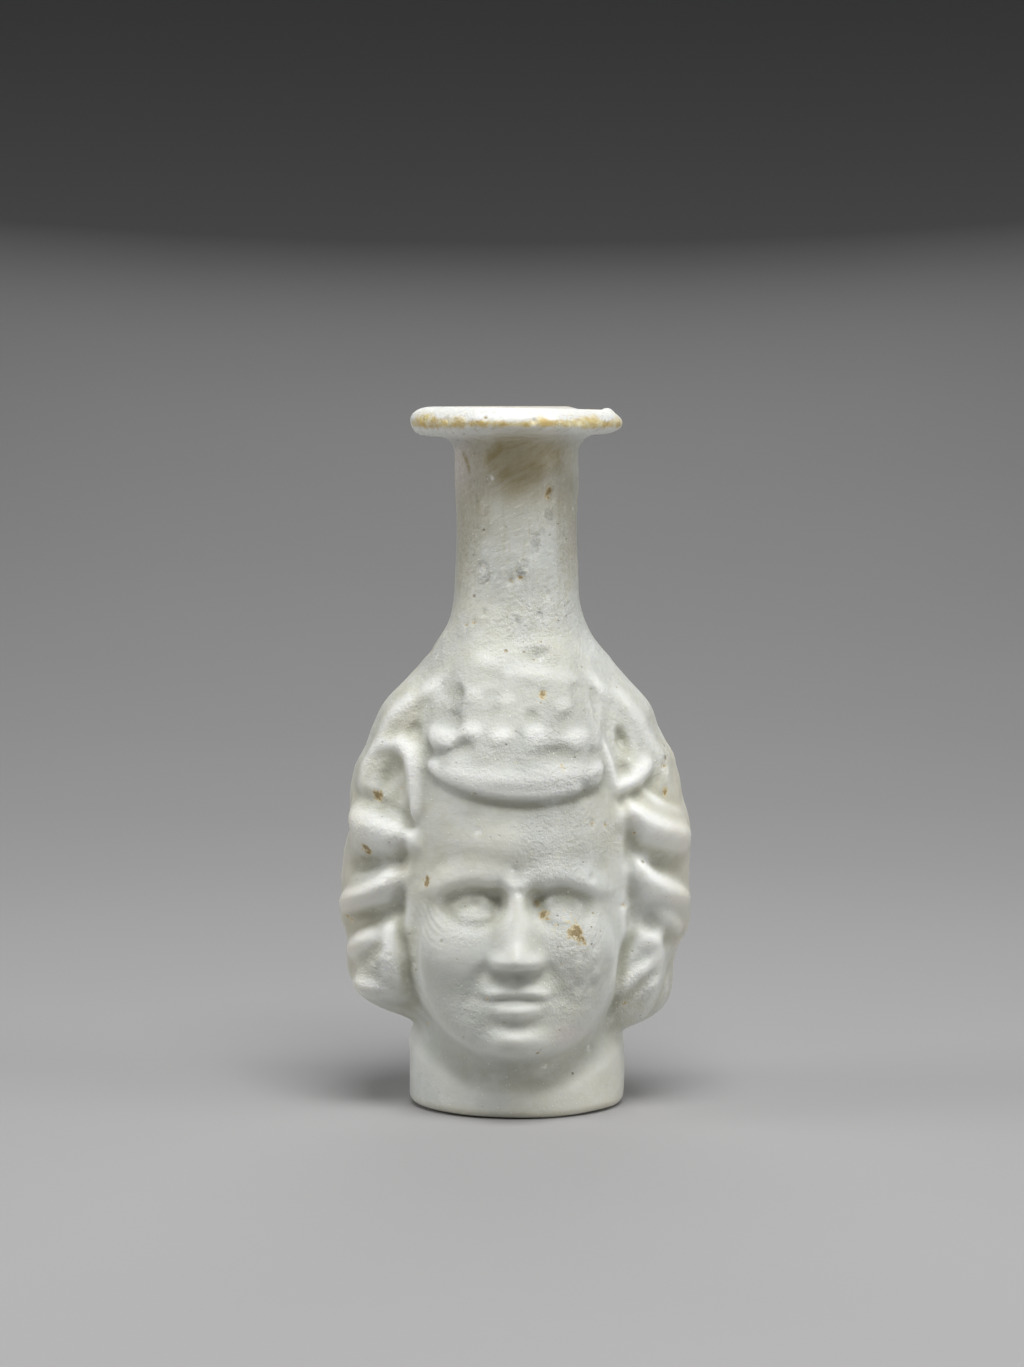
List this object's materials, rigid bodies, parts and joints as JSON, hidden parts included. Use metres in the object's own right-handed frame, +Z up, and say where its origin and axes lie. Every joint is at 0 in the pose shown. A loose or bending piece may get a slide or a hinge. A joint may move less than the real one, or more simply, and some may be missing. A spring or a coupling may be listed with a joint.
{
  "type": "janiform glass flask",
  "caption": "Small mould-blown perfume flask of opaque white glass: two back-to-back heads with wavy hair, round foot, narrow cylindrical neck and thick turned-out rim.",
  "frame": {"origin": "middle of the flat underside of the foot", "axes": "+Z up along the neck's axis; the two faces look along -Y and +Y; the hair and the mould seams are at -X and +X"},
  "size_m": [0.0381, 0.0362, 0.076],
  "materials": {
    "white_glass": "opaque, satin, weathered"
  },
  "bodies": {
    "root": {"flask": "white_glass"}
  },
  "joints": []
}
